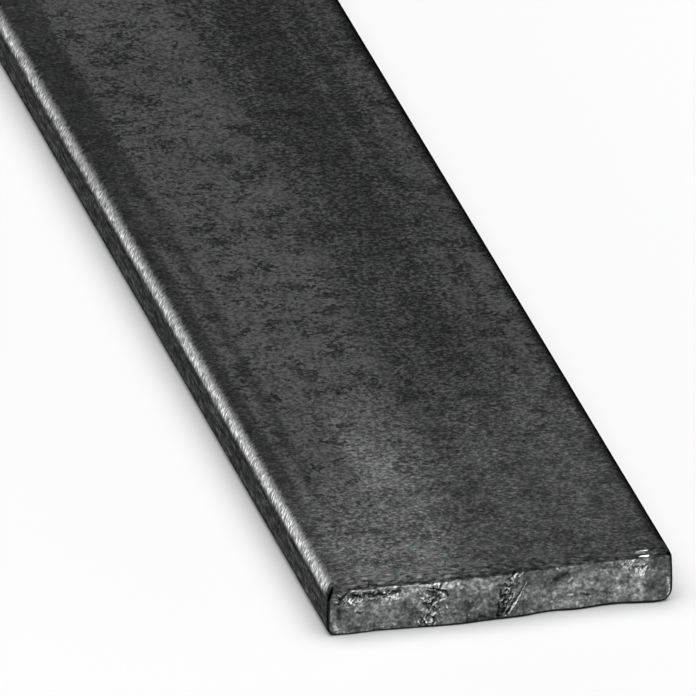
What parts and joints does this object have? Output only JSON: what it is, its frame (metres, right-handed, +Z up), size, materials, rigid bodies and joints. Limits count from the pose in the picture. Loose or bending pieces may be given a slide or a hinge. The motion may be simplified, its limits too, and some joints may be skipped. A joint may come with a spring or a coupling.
{
  "type": "flat bar",
  "caption": "Hot-rolled steel flat bar with rounded long edges and rough sheared ends, a length of plain stock for frames, brackets and straps.",
  "frame": {"origin": "on the bottom face, at the middle of the width and of the length", "axes": "+X across the width, to the right seen from the near end; +Y along the length, away from the near end whose cut wanders; +Z up through the thickness, out of the face that bends down at the near cut"},
  "size_m": [0.03, 1, 0.005],
  "materials": {
    "mill_scale_steel": "hot-rolled mill scale, dark grey, semi-matt, with torn grey metal on the sheared ends"
  },
  "bodies": {
    "root": {"flat_bar": "mill_scale_steel"}
  },
  "joints": []
}
